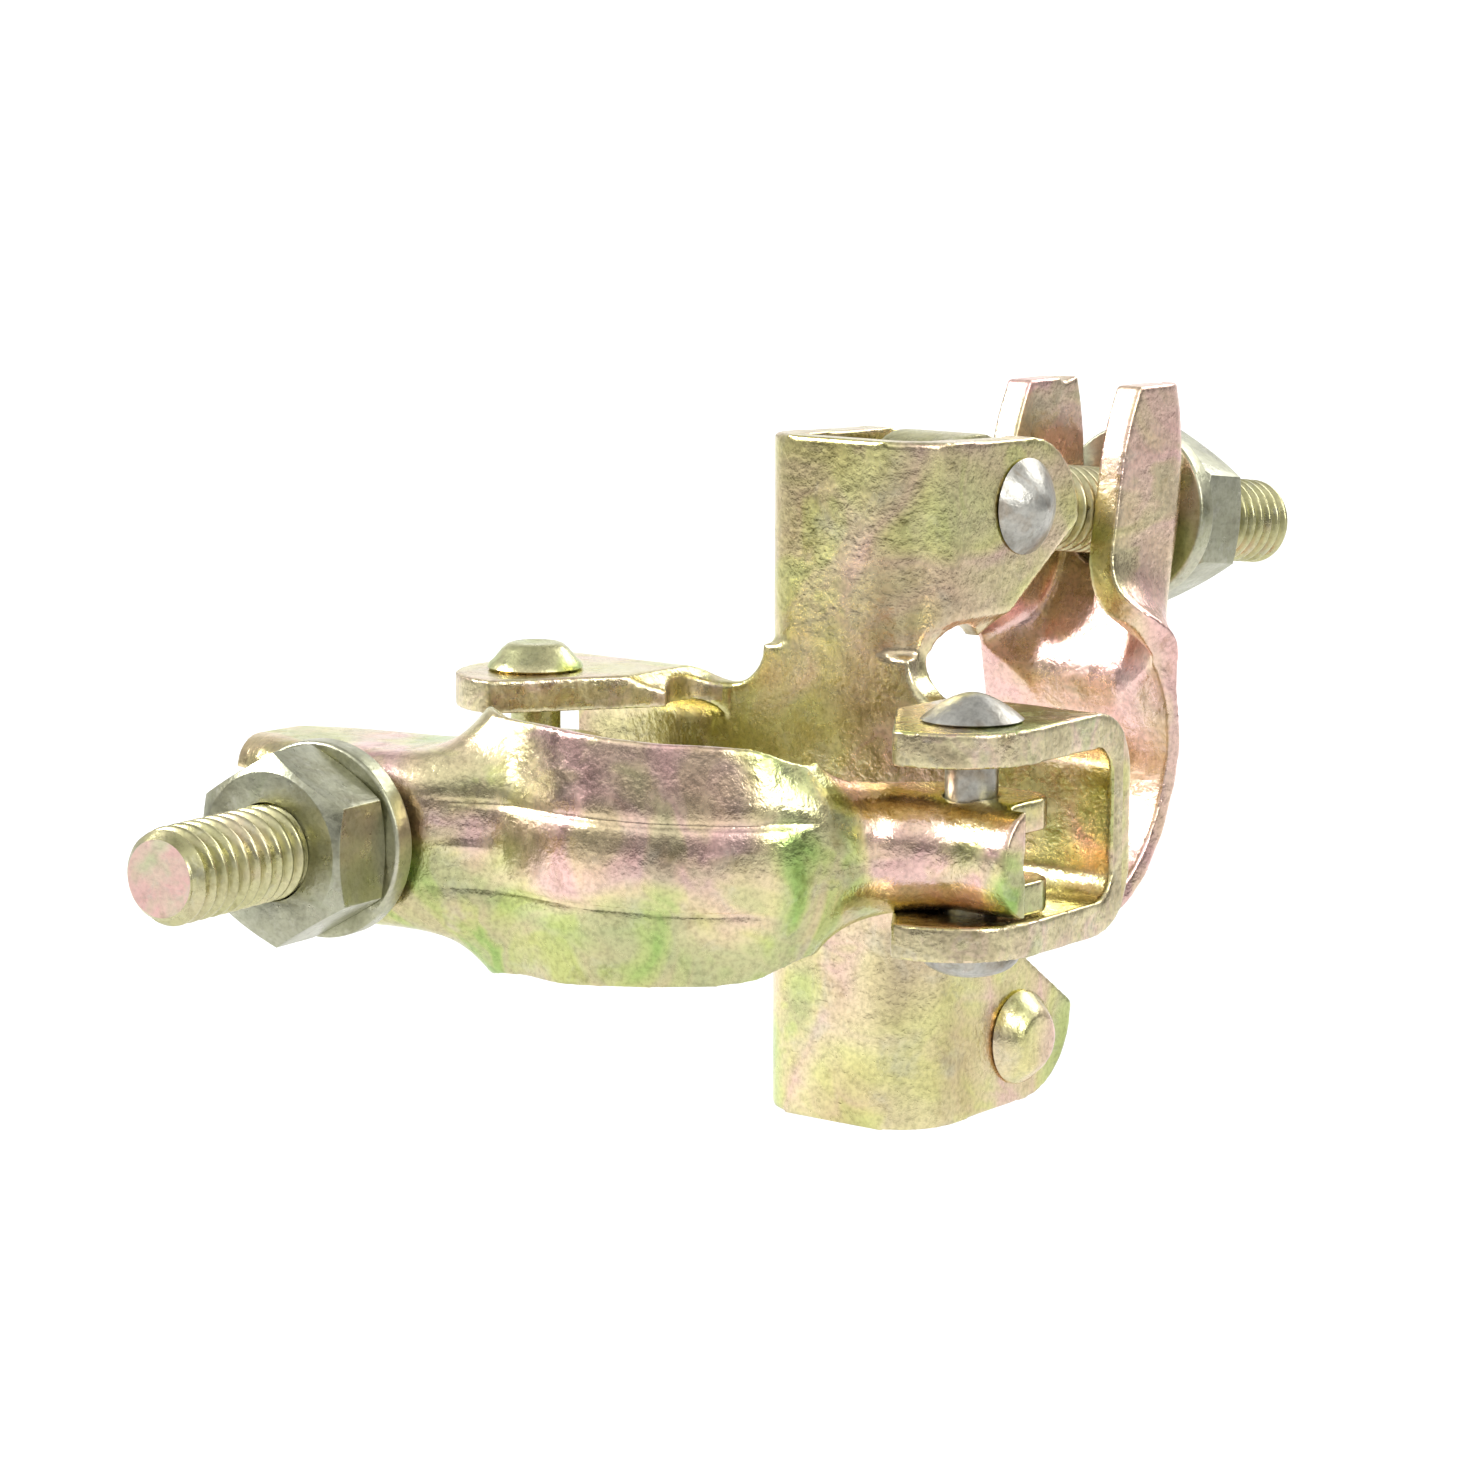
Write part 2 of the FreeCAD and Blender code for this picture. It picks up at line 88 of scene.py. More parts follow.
def copy_of_node(node, name):
    """The node's CAD mesh with its seams merged and its flat faces joined."""
    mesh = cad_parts[node].data.copy()
    mesh.materials.clear()
    shell = bmesh.new()
    shell.from_mesh(mesh)
    bmesh.ops.remove_doubles(shell, verts=shell.verts, dist=2e-6)
    bmesh.ops.dissolve_limit(shell, angle_limit=math.radians(0.5), verts=shell.verts, edges=shell.edges)
    shell.to_mesh(mesh)
    shell.free()
    return new_object(name, mesh)


def remeshed(obj, voxel):
    remesh = obj.modifiers.new("Remesh", "REMESH")
    remesh.mode = "VOXEL"
    remesh.voxel_size = voxel * MM
    baked(obj)


def eased(obj, rounds):
    ease = obj.modifiers.new("Ease", "SMOOTH")
    ease.factor = 0.5
    ease.iterations = rounds
    baked(obj)


def softened(node, name, voxel, rounds):
    """The node's shape with its edges eased, as pressed and plated steel has them."""
    obj = copy_of_node(node, name)
    remeshed(obj, voxel)
    eased(obj, rounds)
    smooth_shading(obj, 180)
    return obj


def bevelled(node, name, width):
    obj = copy_of_node(node, name)
    bevel = obj.modifiers.new("Bevel", "BEVEL")
    bevel.width = width * MM
    bevel.segments = 3
    bevel.limit_method = "ANGLE"
    bevel.angle_limit = math.radians(18)
    baked(obj)
    smooth_shading(obj, 40)
    return obj


def mesh_from(name, points, faces, matrix):
    """A mesh of points in millimetres, brought through the matrix, with its faces turned outward."""
    mesh = bpy.data.meshes.new(name)
    mesh.from_pydata([tuple(matrix @ Vector(point)) for point in points], [], faces)
    mesh.update()
    shell = bmesh.new()
    shell.from_mesh(mesh)
    bmesh.ops.remove_doubles(shell, verts=shell.verts, dist=1e-7)
    bmesh.ops.recalc_face_normals(shell, faces=shell.faces)
    shell.to_mesh(mesh)
    shell.free()
    return mesh


def revolved(name, profile, matrix, columns=96):
    """Closed lathe shape: profile is (radius, z) pairs, a closed loop or from axis to axis."""
    points, faces = [], []
    for radius, height in profile:
        for column in range(columns):
            turn = 2 * math.pi * column / columns
            points.append((radius * math.cos(turn), radius * math.sin(turn), height))
    rows = len(profile)
    closed = profile[0][0] > 1e-6
    for row in range(rows if closed else rows - 1):
        after = (row + 1) % rows
        for column in range(columns):
            side = (column + 1) % columns
            faces.append((row * columns + column, row * columns + side,
                          after * columns + side, after * columns + column))
    return mesh_from(name, points, faces, matrix)


# ---- Materials ----
def node_tools(name):
    material = bpy.data.materials.new(name)
    material.use_nodes = True
    tree = material.node_tree
    shader = tree.nodes["Principled BSDF"]

    def add(kind, **values):
        node = tree.nodes.new(kind)
        for key, value in values.items():
            if key in node.inputs:
                node.inputs[key].default_value = value
            else:
                setattr(node, key, value)
        return node

    def link(source, target):
        tree.links.new(source, target)

    return material, shader, add, link


def noise(add, link, place, scale, detail=3.0, rough=0.5, distortion=0.0):
    node = add("ShaderNodeTexNoise")
    node.inputs["Scale"].default_value = scale
    node.inputs["Detail"].default_value = detail
    node.inputs["Roughness"].default_value = rough
    node.inputs["Distortion"].default_value = distortion
    link(place, node.inputs["Vector"])
    return node.outputs["Fac"]


def set_stops(node, stops):
    bar = node.color_ramp.elements
    while len(bar) < len(stops):
        bar.new(0.5)
    for element, (position, colour) in zip(bar, stops):
        element.position = position
        element.color = (*colour, 1.0)


def ramp(add, link, source, stops):
    node = add("ShaderNodeValToRGB")
    set_stops(node, stops)
    link(source, node.inputs["Fac"])
    return node.outputs["Color"]


def grey(value):
    return (value, value, value)


def mixed(add, link, factor, first, second, mode="MIX"):
    node = add("ShaderNodeMix", data_type="RGBA", blend_type=mode)
    if isinstance(factor, (int, float)):
        node.inputs[0].default_value = factor
    else:
        link(factor, node.inputs[0])
    for socket, value in ((node.inputs[6], first), (node.inputs[7], second)):
        if isinstance(value, tuple):
            socket.default_value = (*value, 1.0)
        else:
            link(value, socket)
    return node.outputs[2]


def placed(add, link, offset, stretch=(1, 1, 1)):
    coordinates = add("ShaderNodeTexCoord")
    mapping = add("ShaderNodeMapping")
    mapping.inputs["Location"].default_value = offset
    mapping.inputs["Scale"].default_value = stretch
    link(coordinates.outputs["Object"], mapping.inputs["Vector"])
    return mapping.outputs["Vector"]


def bumped(add, link, height, strength, distance, below=None):
    node = add("ShaderNodeBump")
    node.inputs["Strength"].default_value = strength
    node.inputs["Distance"].default_value = distance * MM
    link(height, node.inputs["Height"])
    if below is not None:
        link(below, node.inputs["Normal"])
    return node.outputs["Normal"]


def plated_steel(name, seed, films, roughness, patch=30.0, grain=1.0, slope=(0.0, 0.0, 0.0)):
    """Passivated zinc: cloudy interference films over a fine orange-peel grain, with stains and scratches.

    patch is how many patches a metre holds, grain scales the fine specks and bumps, and slope is how fast
    the film thickens along x, y and z, per metre.
    """
    material, shader, add, link = node_tools(name)
    place = placed(add, link, (seed, seed * 0.7, -seed))
    leaning = add("ShaderNodeVectorMath", operation="DOT_PRODUCT")
    leaning.inputs[1].default_value = slope
    link(placed(add, link, (0, 0, 0)), leaning.inputs[0])
    thickness = add("ShaderNodeMath", operation="ADD")
    link(noise(add, link, place, patch, 2.2, 0.48, 0.6), thickness.inputs[0])
    link(leaning.outputs["Value"], thickness.inputs[1])
    base = ramp(add, link, thickness.outputs["Value"], films)
    # A second, finer film drifts over the first, so that no patch has one colour.
    second = placed(add, link, (-seed * 1.7, seed, 0.5 * seed))
    drift = ramp(add, link, noise(add, link, second, patch * 2.3, 3.0, 0.5, 0.8), films)
    base = mixed(add, link, 0.35, base, drift)
    dusty = noise(add, link, placed(add, link, (-seed, 2.0, seed)), patch * 4.5, 5.0, 0.65, 0.5)
    dust = ramp(add, link, dusty, ((0.56, grey(0.0)), (0.70, grey(0.35))))
    base = mixed(add, link, dust, base, (0.55, 0.54, 0.47))
    grime = noise(add, link, place, 170.0, 6.0, 0.68, 0.4)
    stains = ramp(add, link, grime, ((0.28, (0.40, 0.35, 0.20)), (0.42, grey(1.0))))
    base = mixed(add, link, 0.55, base, stains, "MULTIPLY")
    fine = noise(add, link, place, 1500.0, 4.0, 0.62)
    specks = ramp(add, link, fine, ((0.36, grey(0.74)), (0.50, grey(0.97)), (0.64, grey(1.10))))
    base = mixed(add, link, 0.8 * grain, base, specks, "MULTIPLY")
    link(base, shader.inputs["Base Color"])
    shader.inputs["Metallic"].default_value = 1.0
    worn = noise(add, link, place, 320.0, 5.0, 0.6)
    rough = ramp(add, link, worn, ((0.32, grey(roughness - 0.06)), (0.68, grey(roughness + 0.12))))
    link(rough, shader.inputs["Roughness"])
    scratch_place = placed(add, link, (seed, 0, 0), (1.0, 0.05, 1.0))
    scratches = noise(add, link, scratch_place, 1300.0, 2.0, 0.5)
    normal = bumped(add, link, noise(add, link, place, 110.0, 2.0, 0.5), 0.30, 0.8)
    normal = bumped(add, link, noise(add, link, place, 620.0, 3.0, 0.6), 0.70 * grain, 0.16, normal)
    normal = bumped(add, link, fine, 0.55 * grain, 0.07, normal)
    normal = bumped(add, link, scratches, 0.12, 0.08, normal)
    link(normal, shader.inputs["Normal"])
    return material


# Film colours from the thin to the thick end of the passivation.
CAP_FILMS = ((0.27, (0.56, 0.50, 0.20)), (0.36, (0.76, 0.68, 0.30)), (0.42, (0.82, 0.64, 0.46)),
             (0.47, (0.86, 0.55, 0.50)), (0.52, (0.80, 0.56, 0.50)), (0.56, (0.76, 0.68, 0.36)),
             (0.61, (0.46, 0.58, 0.21)), (0.67, (0.30, 0.46, 0.13)), (0.75, (0.50, 0.50, 0.20)))
BODY_FILMS = ((0.28, (0.40, 0.32, 0.15)), (0.38, (0.60, 0.54, 0.22)), (0.46, (0.72, 0.68, 0.32)),
              (0.52, (0.76, 0.62, 0.42)), (0.56, (0.76, 0.54, 0.44)), (0.60, (0.70, 0.66, 0.30)),
              (0.66, (0.52, 0.60, 0.24)), (0.74, (0.36, 0.48, 0.17)))
BOLT_FILMS = ((0.34, (0.36, 0.34, 0.17)), (0.46, (0.54, 0.52, 0.28)), (0.58, (0.60, 0.56, 0.33)),
              (0.72, (0.62, 0.50, 0.36)))
NUT_FILMS = ((0.36, (0.28, 0.27, 0.18)), (0.48, (0.38, 0.38, 0.27)), (0.60, (0.47, 0.47, 0.36)),
             (0.70, (0.38, 0.41, 0.27)))
WASHER_FILMS = ((0.36, (0.34, 0.34, 0.22)), (0.50, (0.46, 0.46, 0.32)), (0.64, (0.56, 0.54, 0.41)))
RIVET_FILMS = ((0.34, (0.26, 0.24, 0.20)), (0.44, (0.44, 0.43, 0.39)), (0.56, (0.54, 0.53, 0.48)),
               (0.64, (0.40, 0.33, 0.25)))
SHEAR_FILMS = ((0.34, (0.46, 0.38, 0.24)), (0.44, (0.64, 0.56, 0.34)), (0.52, (0.74, 0.66, 0.40)),
               (0.60, (0.78, 0.60, 0.48)), (0.68, (0.60, 0.60, 0.34)))
FACE_FILMS = ((0.36, (0.56, 0.62, 0.36)), (0.46, (0.72, 0.60, 0.46)), (0.54, (0.80, 0.52, 0.47)),
              (0.66, (0.76, 0.50, 0.46)))
plate = plated_steel("plating", 3.1, CAP_FILMS, 0.21, slope=(1.6, 0.0, -4.5))
plate_rear = plated_steel("plating_rear", 12.3, CAP_FILMS, 0.24, patch=22.0, slope=(0.0, 0.0, -1.2))
plate_body = plated_steel("plating_body", 1.3, BODY_FILMS, 0.20, patch=26.0)
bolt_steel = plated_steel("bolt_plating", 5.2, BOLT_FILMS, 0.27, patch=80.0, grain=0.7)
nut_steel = plated_steel("nut_zinc", 9.4, NUT_FILMS, 0.30, patch=70.0, grain=0.8)
washer_steel = plated_steel("washer_zinc", 2.6, WASHER_FILMS, 0.30, patch=70.0, grain=0.8)
rivet_steel = plated_steel("rivet_steel", 4.4, RIVET_FILMS, 0.32, patch=110.0, grain=0.9)
sheared = plated_steel("sheared_edge", 6.6, SHEAR_FILMS, 0.27, patch=90.0, grain=1.3)
bolt_face = plated_steel("bolt_face", 8.3, FACE_FILMS, 0.36, patch=110.0, grain=0.5)


def finish_piece(obj, material, node, body):
    obj.data.materials.clear()
    obj.data.materials.append(material)
    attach(obj, body)
    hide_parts(node)


# ---- Coupler body ----
EAR_RIM_ALONG, EAR_RIM_ACROSS, EAR_RIM_DEPTH = 17.0, 9.3, 3.0
WEB_END = 42.0


def shear_edges(obj):
    """Give the cut rims of the four lugs' ears and of the web's ends their own surface."""
    for face in obj.data.polygons:
        x, y, z = face.center / MM
        on_rear = y > AXIS_DEPTH
        along, across, depth = (z, x, y - AXIS_DEPTH) if on_rear else (x, z, AXIS_DEPTH - y)
        lean_across = face.normal.x if on_rear else face.normal.z
        lean_along = face.normal.z if on_rear else face.normal.x
        on_ear = abs(across) > EAR_RIM_ACROSS and depth > EAR_RIM_DEPTH and abs(along) > EAR_RIM_ALONG
        ear_rim = on_ear and abs(lean_across) < 0.42
        web_end = abs(along) > WEB_END and abs(lean_along) > 0.75
        if ear_rim or web_end:
            face.material_index = 1


body = softened("coupler_body", "body_pressing", 0.42, 5)
finish_piece(body, plate_body, "coupler_body", "coupler_body")
body.data.materials.append(sheared)
shear_edges(body)

# ---- Caps: a bent plate, drawn as sections across it from the hinge's end to the fork's end ----
CAP_PLATE, CAP_OUTER, CAP_BORE = 4.1, 28.4, 24.28
FORK_SEAT = 44.2
SLOT_HALF, SLOT_FOOT = 7.05, -30.05
RIVET_HOLE = 3.42


def on_band(degrees, extra=0.0):
    turn = math.radians(degrees)
    radius = CAP_OUTER + extra
    return radius * math.sin(turn), AXIS_DEPTH + radius * math.cos(turn)


def on_seat(x):
    """Outer edge of the fork's prongs: an arc about the swing bolt's rivet."""
    return x, PIN_DEPTH + math.sqrt(FORK_SEAT ** 2 - (x + PIN_REACH) ** 2)


# Each row: point on the outer middle line, half of the flat, bend radius, bend angle, flange length.
CAP_SECTIONS = (
    ((46.0, 28.0), 0.5, 6.6, 90, 8.8),
    ((41.0, 28.0), 0.5, 6.6, 90, 8.8),
    ((36.5, 28.0), 0.5, 6.6, 90, 8.8),
    ((33.3, 28.5), 0.6, 6.7, 89, 8.6),
    ((31.0, 30.0), 0.9, 7.0, 83, 7.6),
    ((29.4, 32.4), 1.4, 7.6, 72, 6.2),
    ((28.3, 35.4), 2.4, 8.8, 54, 4.0),
    ((27.2, 38.6), 4.0, 10.0, 34, 2.4),
    (on_band(63, 0.05), 5.0, 10.0, 20, 4.3),
    (on_band(54), 6.0, 10.0, 13, 6.1),
    (on_band(42), 6.0, 10.0, 11, 7.0),
    (on_band(28), 6.0, 10.0, 11, 7.2),
    (on_band(12), 6.0, 10.0, 11, 7.6),
    (on_band(0), 6.0, 10.0, 11, 8.0),
    (on_band(-9), 6.0, 9.5, 14, 7.9),
    ((-8.0, 56.7), 6.0, 9.0, 20, 7.3),
    ((-11.5, 58.1), 6.0, 8.4, 29, 7.1),
    ((-14.5, 59.5), 6.0, 7.6, 41, 7.6),
    ((-17.0, 60.6), 6.0, 6.5, 58, 9.2),
    ((-19.5, 61.6), 6.0, 5.6, 76, 11.8),
    ((-22.5, 62.5), 6.0, 5.2, 88, 13.0),
    ((-26.0, 63.4), 6.0, 5.1, 90, 13.6),
    (on_seat(-30.0), 6.0, 5.1, 90, 13.6),
    (on_seat(-35.0), 6.2, 4.9, 90, 13.2),
    (on_seat(-40.0), 6.6, 4.5, 90, 12.5),
    (on_seat(-44.5), 7.0, 4.1, 90, 10.6),
    (on_seat(-48.75), 7.0, 4.1, 90, 7.3),
)


def resampled(values, spacing, blur):
    """Even samples along the first two columns, softened over the blur length."""
    values = np.array(values, float)
    steps = np.hypot(np.diff(values[:, 0]), np.diff(values[:, 1]))
    place = np.concatenate(([0], np.cumsum(steps)))
    count = int(place[-1] / spacing)
    even = np.linspace(0, place[-1], count)
    table = np.column_stack([np.interp(even, place, column) for column in values.T])
    reach = int(2.5 * blur / spacing)
    weights = np.exp(-0.5 * (np.arange(-reach, reach + 1) * spacing / blur) ** 2)
    weights /= weights.sum()
    first = 2 * table[0] - table[1:reach + 1][::-1]
    last = 2 * table[-1] - table[-reach - 1:-1][::-1]
    padded = np.vstack((first, table, last))
    return np.column_stack([np.convolve(column, weights, "valid") for column in padded.T])


def half_profile(flat, bend, angle, flange):
    """(across, depth) points from the middle line over the flat and round the bend to the flange's edge."""
    profile = [(flat * step / 8, 0.0) for step in range(8)]
    for step in range(12):
        turn = angle * step / 12
        profile.append((flat + bend * math.sin(turn), bend * (1 - math.cos(turn))))
    foot_across, foot_depth = flat + bend * math.sin(angle), bend * (1 - math.cos(angle))
    for step in range(17):
        reach = flange * step / 16
        profile.append((foot_across + reach * math.cos(angle), foot_depth + reach * math.sin(angle)))
    return profile


def cap_grid():
    """Outer surface points as an array [section, across, xyz] in the clamp frame."""
    rows = [(*point, flat, bend, math.radians(angle), flange)
            for point, flat, bend, angle, flange in CAP_SECTIONS]
    rows = resampled(rows, 0.55, 1.15)
    along = np.gradient(rows[:, :2], axis=0)
    along /= np.linalg.norm(along, axis=1)[:, None]
    inward = np.column_stack((-along[:, 1], along[:, 0]))
    inward[inward[:, 1] > 0] *= -1
    # Over the fork the sections stand square to the arm.
    square = np.clip((-6.0 - rows[:, 0]) / 8.0, 0, 1)[:, None]
    inward = inward * (1 - square) + np.array([0.0, -1.0]) * square
    inward /= np.linalg.norm(inward, axis=1)[:, None]
    grid = []
    for (x, z, flat, bend, angle, flange), (down_x, down_z) in zip(rows, inward):
        half = half_profile(flat, bend, angle, flange)
        profile = [(-across, depth) for across, depth in reversed(half[1:])] + half
        grid.append([(x + depth * down_x, across, z + depth * down_z) for across, depth in profile])
    return np.array(grid)


def plate_solid(outer, thickness):
    """Closed mesh data: the outer grid, the same grid set in by the thickness, and the rim."""
    rows, columns = outer.shape[:2]
    normal = np.cross(np.gradient(outer, axis=0), np.gradient(outer, axis=1))
    normal /= np.linalg.norm(normal, axis=2)[:, :, None]
    if normal[rows // 2, columns // 2, 2] < 0:
        normal = -normal
    inner = outer - normal * thickness
    points = np.concatenate((outer.reshape(-1, 3), inner.reshape(-1, 3)))
    number = np.arange(rows * columns).reshape(rows, columns)
    under = number + rows * columns
    faces = []
    for row in range(rows - 1):
        for column in range(columns - 1):
            quad = (number[row, column], number[row, column + 1],
                    number[row + 1, column + 1], number[row + 1, column])
            faces.append(quad)
            faces.append(tuple(value + rows * columns for value in reversed(quad)))
    loop = [(row, 0) for row in range(rows)]
    loop += [(rows - 1, column) for column in range(1, columns)]
    loop += [(row, columns - 1) for row in range(rows - 2, -1, -1)]
    loop += [(0, column) for column in range(columns - 2, 0, -1)]
    for first, second in zip(loop, loop[1:] + loop[:1]):
        faces.append((number[first], number[second], under[second], under[first]))
    return points, faces


def prism(name, outline, half, axis, matrix):
    """Cutter: an outline in the (x, z) plane run half along y each way, or one in (x, y) along z."""
    points = []
    for side in (-half, half):
        for first, second in outline:
            points.append((first, side, second) if axis == "y" else (first, second, side))
    count = len(outline)
    faces = [tuple(range(count)), tuple(reversed(range(count, 2 * count)))]
    faces += [(k, (k + 1) % count, (k + 1) % count + count, k + count) for k in range(count)]
    return new_object(name, mesh_from(name, points, faces, matrix))


def ring_points(x, y, radius, count=96):
    turns = [2 * math.pi * k / count for k in range(count)]
    return [(x + radius * math.cos(turn), y + radius * math.sin(turn)) for turn in turns]


def cut_away(obj, cutters):
    for cutter in cutters:
        tool = obj.modifiers.new("Cut", "BOOLEAN")
        tool.operation = "DIFFERENCE"
        tool.solver = "EXACT"
        tool.object = cutter
        baked(obj)
        bpy.data.objects.remove(cutter)


def smooth_step(value, low, high):
    share = np.clip((value - low) / (high - low), 0, 1)
    return share * share * (3 - 2 * share)


def press_rib(points):
    """Height in millimetres of the band's rounded rib, its two creases and the small dart beside it."""
    x, across, z = points.T
    radial = np.hypot(x, z - AXIS_DEPTH)
    turn = np.degrees(np.arctan2(x, z - AXIS_DEPTH))
    share = np.clip((turn + 30) / 90, 0, 1)
    upper, lower = 5.9 - 1.0 * share, -4.5 - 1.2 * share
    lengthwise = smooth_step(turn, -40, -2) * (1 - smooth_step(turn, 58, 72))
    crease = smooth_step(turn, -31, -20) * (1 - smooth_step(turn, 50, 57))
    middle, half = (upper + lower) / 2, (upper - lower) / 2
    offset = np.clip(np.abs(across - middle) / half, 0, 1)
    rib = np.sqrt(1 - 0.94 * offset ** 2) - np.sqrt(0.06)
    edge = 1 - smooth_step(np.abs(across - middle) - half, -0.25, 0.35)
    groove = np.exp(-((across - upper) / 0.30) ** 2) + np.exp(-((across - lower) / 0.30) ** 2)
    lift = lengthwise * (1.25 * rib + 0.22 * edge) - 0.20 * crease * groove
    dart = np.exp(-((across - 0.4) / (0.35 + 0.05 * np.clip(turn + 30, 0, 12))) ** 2)
    dart *= smooth_step(turn, -28, -24) * (1 - smooth_step(turn, -21, -14)) * 0.28
    outer = (radial > CAP_OUTER - 0.9) & (z > AXIS_DEPTH) & (radial < CAP_OUTER + 13)
    return np.where(outer, lift + dart, 0.0)


# Closed outline in (x, z) of what is cut away round the hinge's side plates.
HINGE_TRIM = ((60, 23.7), (43.5, 23.7), (43.5, 16.8), (42.6, 14.6), (40.3, 12.9), (31, 12.8), (27.2, 18.3),
              (24.9, 25.6), (24.4, 28.0), (16, 28.0), (16, 5), (60, 5))


def vertex_values(mesh, kind):
    values = np.empty(len(mesh.vertices) * 3, np.float32)
    mesh.vertices.foreach_get(kind, values)
    return values.reshape(-1, 3).astype(float)


def stamp(obj, matrix):
    """Press the rib into the outer face, along the surface's own normals."""
    to_local = np.array(matrix.inverted())
    places = vertex_values(obj.data, "co")
    normals = vertex_values(obj.data, "normal")
    local = places @ to_local[:3, :3].T + to_local[:3, 3]
    outward = local - np.array([0, 0, AXIS_DEPTH])
    outward[:, 1] = 0
    outward /= np.linalg.norm(outward, axis=1)[:, None]
    turn = np.array(matrix)[:3, :3] / MM
    facing = np.einsum("ij,ij->i", normals @ turn, outward)
    places += normals * (press_rib(local) * np.clip(facing, 0, 1) * MM)[:, None]
    obj.data.vertices.foreach_set("co", places.astype(np.float32).ravel())
    obj.data.update()


def make_cap(group):
    matrix = clamp_matrix(group)
    if group == "front":
        matrix = matrix @ Matrix.Translation((0, -FRONT_CAP_DROP, 0))
    points, faces = plate_solid(cap_grid(), CAP_PLATE)
    cap = new_object(group + "_cap_pressing", mesh_from(group + "_cap_plate", points, faces, matrix))
    remeshed(cap, 0.3)
    slot = [(-60, -SLOT_HALF), (-60, SLOT_HALF)]
    for k in range(25):
        turn = math.pi * k / 24
        slot.append((SLOT_FOOT + SLOT_HALF * math.sin(turn), SLOT_HALF * math.cos(turn)))
    cut_away(cap, [
        prism("tube_space", ring_points(0, AXIS_DEPTH, CAP_BORE, 192), 30, "y", matrix),
        prism("slot_space", slot, 80, "z", matrix),
        prism("hinge_space", HINGE_TRIM, 20, "y", matrix),
        prism("rivet_space", ring_points(PIN_REACH, PIN_DEPTH, RIVET_HOLE), 20, "y", matrix),
    ])
    remeshed(cap, 0.33)
    eased(cap, 5)
    stamp(cap, matrix)
    smooth_shading(cap, 180)
    return cap


for group, material in (("front", plate), ("rear", plate_rear)):
    finish_piece(make_cap(group), material, group + "_cap", group + "_cap")


# ---- Rivets ----
def rivet_profile(head):
    """(radius, z) loop from the tail's axis, up the shank, over the head: a dome or a turned button."""
    half, radius, shank, tail = 14.0, 6.3, 3.27, 3.6
    lower = [(0.0, -half - tail)]
    for step in range(1, 9):
        turn = step / 8 * math.pi / 2
        lower.append((radius * math.sin(turn), -half - tail * math.cos(turn) ** 0.8))
    lower[-1] = (radius, -half - 0.25)
    lower += [(radius - 0.25, -half), (shank, -half), (shank, half), (radius - 0.3, half)]
    if head == "dome":
        shares = [1 - step / 14 for step in range(15)]
        top = [(radius * share, half + 0.25 + 3.25 * (1 - share ** 1.75)) for share in shares]
    else:
        top = [(radius, half + 0.35), (radius - 0.25, half + 0.9), (radius - 0.8, half + 1.35),
               (4.4, half + 2.7), (3.7, half + 3.3), (3.1, half + 3.5), (2.2, half + 3.42),
               (0.0, half + 3.3)]
    return lower + top


def rivet_matrix(group, side):
    turned = -90 if group == "front" else 90
    return (clamp_matrix(group) @ Matrix.Translation((side * PIN_REACH, 0, PIN_DEPTH))
            @ Matrix.Rotation(math.radians(turned), 4, "X"))


for group in GROUPS:
    for part, side in (("cap_rivet", 1), ("bolt_rivet", -1)):
        grey_head = (group == "front") == (side == 1)
        name = group + "_" + part
        mesh = revolved(name + "_forged", rivet_profile("dome" if grey_head else "button"),
                        rivet_matrix(group, side))
        rivet = new_object(name + "_forged", mesh)
        smooth_shading(rivet, 50)
        finish_piece(rivet, rivet_steel if grey_head else plate_rear, name, "coupler_body")

# ---- Swing bolts ----
PITCH, BOLT_RADIUS, BOLT_END, THREAD_START = 2.12, 5.95, 78.7, 13.0
THREAD_COLUMNS, THREAD_ROWS_PER_PITCH, THREAD_DEPTH = 72, 16, 1.15
SHANK_RADIUS, NECK_RADIUS, NECK_START, NECK_LENGTH = 6.0, 5.5, 9.6, 3.4


def thread_radius(height, share):
    """Radius of the thread at a height and a share of a turn, with the fade at its foot and the chamfer."""
    phase = (height / PITCH - share) % 1.0
    wave = 1 - abs(2 * phase - 1)
    crest = 0.5 - 0.5 * math.cos(math.pi * min(wave * 1.12, 1.0))
    radius = BOLT_RADIUS - THREAD_DEPTH * (1 - crest)
    radius = min(radius, BOLT_RADIUS - 1.25 + (BOLT_END - height) * 0.95)
    fade = min(max((height - THREAD_START) / 2.2, 0.0), 1.0)
    return NECK_RADIUS * (1 - fade) + radius * fade


def bolt_thread():
    """Points and faces of the threaded shank, closed at both ends."""
    columns = THREAD_COLUMNS
    rows = int((BOLT_END - THREAD_START) / PITCH * THREAD_ROWS_PER_PITCH)
    points, faces = [], []
    for row in range(rows + 1):
        height = THREAD_START + (BOLT_END - THREAD_START) * row / rows
        for column in range(columns):
            turn = 2 * math.pi * column / columns
            radius = thread_radius(height, column / columns)
            points.append((radius * math.cos(turn), radius * math.sin(turn), height))
    for row in range(rows):
        for column in range(columns):
            side = (column + 1) % columns
            faces.append((row * columns + column, row * columns + side,
                          (row + 1) * columns + side, (row + 1) * columns + column))
    faces.append(tuple(reversed(range(columns))))
    last = rows * columns
    faces.append(tuple(range(last, last + columns)))
    return points, faces


def cut_shank(shell, matrix):
    """Keep the eye and the neck of the CAD bolt, closed where the thread takes over."""
    bmesh.ops.bisect_plane(shell, geom=shell.verts[:] + shell.edges[:] + shell.faces[:], dist=1e-7,
                           plane_co=matrix @ Vector((0, 0, THREAD_START + 0.6)),
                           plane_no=(matrix.to_3x3() @ Vector((0, 0, 1))).normalized(), clear_outer=True)
    bmesh.ops.holes_fill(shell, edges=[edge for edge in shell.edges if edge.is_boundary])


